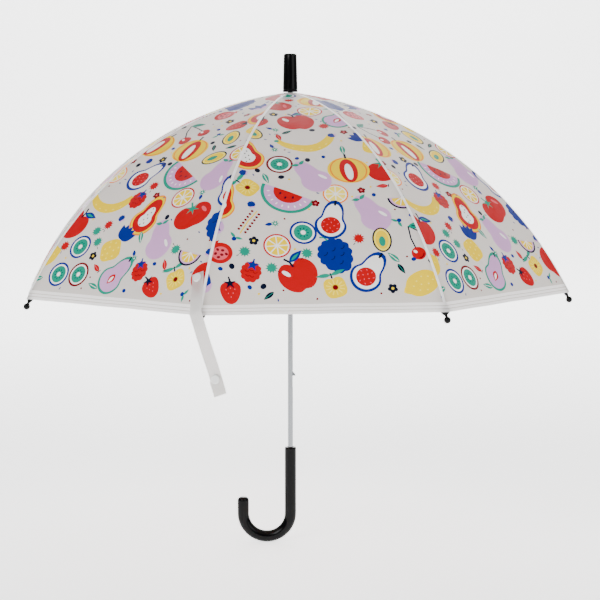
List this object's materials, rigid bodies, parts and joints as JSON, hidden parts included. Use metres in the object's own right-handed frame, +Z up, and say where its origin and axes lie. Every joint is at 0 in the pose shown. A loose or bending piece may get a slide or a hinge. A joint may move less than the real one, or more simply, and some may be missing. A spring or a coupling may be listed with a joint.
{
  "type": "children's umbrella",
  "caption": "Open stick umbrella for a child: clear dome canopy of flat film panels on hinged ribs and stretchers, sliding runner, J handle and a hanging snap strap.",
  "frame": {"origin": "on the shaft's axis at the middle of the handle's straight grip", "axes": "+Z up the shaft to the ferrule; the hook of the handle points to -X; the strap hangs on the -Y side"},
  "size_m": [0.7118, 0.7351, 0.6489],
  "materials": {
    "steel": "satin drawn steel",
    "black_plastic": "glossy moulded black plastic",
    "film": "frosted clear printed film",
    "white_plastic": "moulded white snap plastic"
  },
  "bodies": {
    "frame": {"shaft": "steel", "ferrule": "black_plastic", "top_notch": "black_plastic", "notch_ring": "steel", "handle": "black_plastic"},
    "runner": {"runner": "black_plastic", "runner_ring": "steel"},
    "top_catch": {"top_catch": "steel"},
    "bottom_catch": {"bottom_catch": "steel"},
    "rib_inner_1": {"rib_inner_1": "steel", "rib_rivet_1": "steel"},
    "rib_outer_1": {"rib_outer_1": "steel", "rib_tip_1": "black_plastic", "canopy_gore_1": "film"},
    "stretcher_1": {"stretcher_1": "steel"},
    "rib_inner_2": {"rib_inner_2": "steel", "rib_rivet_2": "steel"},
    "rib_outer_2": {"rib_outer_2": "steel", "rib_tip_2": "black_plastic", "canopy_gore_2": "film"},
    "stretcher_2": {"stretcher_2": "steel"},
    "rib_inner_3": {"rib_inner_3": "steel", "rib_rivet_3": "steel"},
    "rib_outer_3": {"rib_outer_3": "steel", "rib_tip_3": "black_plastic", "canopy_gore_3": "film"},
    "stretcher_3": {"stretcher_3": "steel"},
    "rib_inner_4": {"rib_inner_4": "steel", "rib_rivet_4": "steel"},
    "rib_outer_4": {"rib_outer_4": "steel", "rib_tip_4": "black_plastic", "canopy_gore_4": "film"},
    "stretcher_4": {"stretcher_4": "steel"},
    "rib_inner_5": {"rib_inner_5": "steel", "rib_rivet_5": "steel"},
    "rib_outer_5": {"rib_outer_5": "steel", "rib_tip_5": "black_plastic", "canopy_gore_5": "film"},
    "stretcher_5": {"stretcher_5": "steel"},
    "rib_inner_6": {"rib_inner_6": "steel", "rib_rivet_6": "steel"},
    "rib_outer_6": {"rib_outer_6": "steel", "rib_tip_6": "black_plastic", "canopy_gore_6": "film"},
    "stretcher_6": {"stretcher_6": "steel"},
    "rib_inner_7": {"rib_inner_7": "steel", "rib_rivet_7": "steel"},
    "rib_outer_7": {"rib_outer_7": "steel", "rib_tip_7": "black_plastic", "canopy_gore_7": "film"},
    "stretcher_7": {"stretcher_7": "steel"},
    "rib_inner_8": {"rib_inner_8": "steel", "rib_rivet_8": "steel"},
    "rib_outer_8": {"rib_outer_8": "steel", "rib_tip_8": "black_plastic", "canopy_gore_8": "film"},
    "stretcher_8": {"stretcher_8": "steel"},
    "strap_hanger": {"canopy_snap": "white_plastic"},
    "strap": {"strap": "film", "strap_snap": "white_plastic"}
  },
  "joints": [
    {"name": "runner_slide", "type": "slide", "parent": "frame", "child": "runner", "axis": [0, 0, -1], "range_m": [0, 0.19609]},
    {"name": "rib_hinge_1", "type": "hinge", "parent": "frame", "child": "rib_inner_1", "pos_m": [-0.00262, -0.00913, 0.51212], "axis": [0.9613, -0.2756, 0], "range_deg": [0, 68.6]},
    {"name": "rib_flex_1", "type": "hinge", "parent": "rib_inner_1", "child": "rib_outer_1", "pos_m": [-0.04464, -0.15569, 0.46434], "axis": [-0.9613, 0.2756, 0], "range_deg": [0, 24], "deforming": ["canopy_gore_1"]},
    {"name": "stretcher_hinge_1", "type": "hinge", "parent": "runner", "child": "stretcher_1", "pos_m": [-0.00289, -0.01009, 0.37142], "axis": [-0.9613, 0.2756, 0], "range_deg": [0, 55.2]},
    {"name": "rib_hinge_2", "type": "hinge", "parent": "frame", "child": "rib_inner_2", "pos_m": [0.00461, -0.00831, 0.51212], "axis": [0.8746, 0.4848, 0], "range_deg": [0, 68.6]},
    {"name": "rib_flex_2", "type": "hinge", "parent": "rib_inner_2", "child": "rib_outer_2", "pos_m": [0.07852, -0.14166, 0.46434], "axis": [-0.8746, -0.4848, 0], "range_deg": [0, 24], "deforming": ["canopy_gore_2"]},
    {"name": "stretcher_hinge_2", "type": "hinge", "parent": "runner", "child": "stretcher_2", "pos_m": [0.00509, -0.00918, 0.37142], "axis": [-0.8746, -0.4848, 0], "range_deg": [0, 55.2]},
    {"name": "rib_hinge_3", "type": "hinge", "parent": "frame", "child": "rib_inner_3", "pos_m": [0.00913, -0.00262, 0.51212], "axis": [0.2756, 0.9613, 0], "range_deg": [0, 68.6]},
    {"name": "rib_flex_3", "type": "hinge", "parent": "rib_inner_3", "child": "rib_outer_3", "pos_m": [0.15569, -0.04464, 0.46434], "axis": [-0.2756, -0.9613, 0], "range_deg": [0, 24], "deforming": ["canopy_gore_3"]},
    {"name": "stretcher_hinge_3", "type": "hinge", "parent": "runner", "child": "stretcher_3", "pos_m": [0.01009, -0.00289, 0.37142], "axis": [-0.2756, -0.9613, 0], "range_deg": [0, 55.2]},
    {"name": "rib_hinge_4", "type": "hinge", "parent": "frame", "child": "rib_inner_4", "pos_m": [0.00831, 0.00461, 0.51212], "axis": [-0.4848, 0.8746, 0], "range_deg": [0, 68.6]},
    {"name": "rib_flex_4", "type": "hinge", "parent": "rib_inner_4", "child": "rib_outer_4", "pos_m": [0.14166, 0.07852, 0.46434], "axis": [0.4848, -0.8746, 0], "range_deg": [0, 24], "deforming": ["canopy_gore_4"]},
    {"name": "stretcher_hinge_4", "type": "hinge", "parent": "runner", "child": "stretcher_4", "pos_m": [0.00918, 0.00509, 0.37142], "axis": [0.4848, -0.8746, 0], "range_deg": [0, 55.2]},
    {"name": "rib_hinge_5", "type": "hinge", "parent": "frame", "child": "rib_inner_5", "pos_m": [0.00262, 0.00913, 0.51212], "axis": [-0.9613, 0.2756, 0], "range_deg": [0, 68.6]},
    {"name": "rib_flex_5", "type": "hinge", "parent": "rib_inner_5", "child": "rib_outer_5", "pos_m": [0.04464, 0.15569, 0.46434], "axis": [0.9613, -0.2756, 0], "range_deg": [0, 24], "deforming": ["canopy_gore_5"]},
    {"name": "stretcher_hinge_5", "type": "hinge", "parent": "runner", "child": "stretcher_5", "pos_m": [0.00289, 0.01009, 0.37142], "axis": [0.9613, -0.2756, 0], "range_deg": [0, 55.2]},
    {"name": "rib_hinge_6", "type": "hinge", "parent": "frame", "child": "rib_inner_6", "pos_m": [-0.00461, 0.00831, 0.51212], "axis": [-0.8746, -0.4848, 0], "range_deg": [0, 68.6]},
    {"name": "rib_flex_6", "type": "hinge", "parent": "rib_inner_6", "child": "rib_outer_6", "pos_m": [-0.07852, 0.14166, 0.46434], "axis": [0.8746, 0.4848, 0], "range_deg": [0, 24], "deforming": ["canopy_gore_6"]},
    {"name": "stretcher_hinge_6", "type": "hinge", "parent": "runner", "child": "stretcher_6", "pos_m": [-0.00509, 0.00918, 0.37142], "axis": [0.8746, 0.4848, 0], "range_deg": [0, 55.2]},
    {"name": "rib_hinge_7", "type": "hinge", "parent": "frame", "child": "rib_inner_7", "pos_m": [-0.00913, 0.00262, 0.51212], "axis": [-0.2756, -0.9613, 0], "range_deg": [0, 68.6]},
    {"name": "rib_flex_7", "type": "hinge", "parent": "rib_inner_7", "child": "rib_outer_7", "pos_m": [-0.15569, 0.04464, 0.46434], "axis": [0.2756, 0.9613, 0], "range_deg": [0, 24], "deforming": ["canopy_gore_7"]},
    {"name": "stretcher_hinge_7", "type": "hinge", "parent": "runner", "child": "stretcher_7", "pos_m": [-0.01009, 0.00289, 0.37142], "axis": [0.2756, 0.9613, 0], "range_deg": [0, 55.2]},
    {"name": "rib_hinge_8", "type": "hinge", "parent": "frame", "child": "rib_inner_8", "pos_m": [-0.00831, -0.00461, 0.51212], "axis": [0.4848, -0.8746, 0], "range_deg": [0, 68.6]},
    {"name": "rib_flex_8", "type": "hinge", "parent": "rib_inner_8", "child": "rib_outer_8", "pos_m": [-0.14166, -0.07852, 0.46434], "axis": [-0.4848, 0.8746, 0], "range_deg": [0, 24], "deforming": ["canopy_gore_8"]},
    {"name": "stretcher_hinge_8", "type": "hinge", "parent": "runner", "child": "stretcher_8", "pos_m": [-0.00918, -0.00509, 0.37142], "axis": [-0.4848, 0.8746, 0], "range_deg": [0, 55.2]},
    {"name": "strap_hang", "type": "hinge", "parent": "rib_outer_1", "child": "strap_hanger", "pos_m": [-0.1034, -0.32438, 0.30401], "axis": [-0.9613, 0.2756, 0], "range_deg": [0, 44.6]},
    {"name": "strap_swing", "type": "hinge", "parent": "strap_hanger", "child": "strap", "pos_m": [-0.1034, -0.32438, 0.30401], "axis": [-0.5362, -0.6741, 0.508], "range_deg": [-20, 60]},
    {"name": "top_catch_press", "type": "hinge", "parent": "frame", "child": "top_catch", "pos_m": [0.0019, 0, 0.29672], "axis": [0, -1, 0], "range_deg": [0, 8.5], "stiffness_Nm_per_rad": 0.12, "deforming": ["top_catch"]},
    {"name": "bottom_catch_press", "type": "hinge", "parent": "frame", "child": "bottom_catch", "pos_m": [0.0019, 0, 0.12703], "axis": [0, -1, 0], "range_deg": [0, 8.5], "stiffness_Nm_per_rad": 0.12, "deforming": ["bottom_catch"]}
  ],
  "couplings": [
    {"joint": "rib_hinge_1", "follows": "runner_slide", "rad_per_m": 6.106},
    {"joint": "rib_flex_1", "follows": "runner_slide", "rad_per_m": 2.1362},
    {"joint": "stretcher_hinge_1", "follows": "runner_slide", "rad_per_m": 4.913},
    {"joint": "rib_hinge_2", "follows": "runner_slide", "rad_per_m": 6.106},
    {"joint": "rib_flex_2", "follows": "runner_slide", "rad_per_m": 2.1362},
    {"joint": "stretcher_hinge_2", "follows": "runner_slide", "rad_per_m": 4.913},
    {"joint": "rib_hinge_3", "follows": "runner_slide", "rad_per_m": 6.106},
    {"joint": "rib_flex_3", "follows": "runner_slide", "rad_per_m": 2.1362},
    {"joint": "stretcher_hinge_3", "follows": "runner_slide", "rad_per_m": 4.913},
    {"joint": "rib_hinge_4", "follows": "runner_slide", "rad_per_m": 6.106},
    {"joint": "rib_flex_4", "follows": "runner_slide", "rad_per_m": 2.1362},
    {"joint": "stretcher_hinge_4", "follows": "runner_slide", "rad_per_m": 4.913},
    {"joint": "rib_hinge_5", "follows": "runner_slide", "rad_per_m": 6.106},
    {"joint": "rib_flex_5", "follows": "runner_slide", "rad_per_m": 2.1362},
    {"joint": "stretcher_hinge_5", "follows": "runner_slide", "rad_per_m": 4.913},
    {"joint": "rib_hinge_6", "follows": "runner_slide", "rad_per_m": 6.106},
    {"joint": "rib_flex_6", "follows": "runner_slide", "rad_per_m": 2.1362},
    {"joint": "stretcher_hinge_6", "follows": "runner_slide", "rad_per_m": 4.913},
    {"joint": "rib_hinge_7", "follows": "runner_slide", "rad_per_m": 6.106},
    {"joint": "rib_flex_7", "follows": "runner_slide", "rad_per_m": 2.1362},
    {"joint": "stretcher_hinge_7", "follows": "runner_slide", "rad_per_m": 4.913},
    {"joint": "rib_hinge_8", "follows": "runner_slide", "rad_per_m": 6.106},
    {"joint": "rib_flex_8", "follows": "runner_slide", "rad_per_m": 2.1362},
    {"joint": "stretcher_hinge_8", "follows": "runner_slide", "rad_per_m": 4.913},
    {"joint": "strap_hang", "follows": "runner_slide", "rad_per_m": 3.9698}
  ]
}
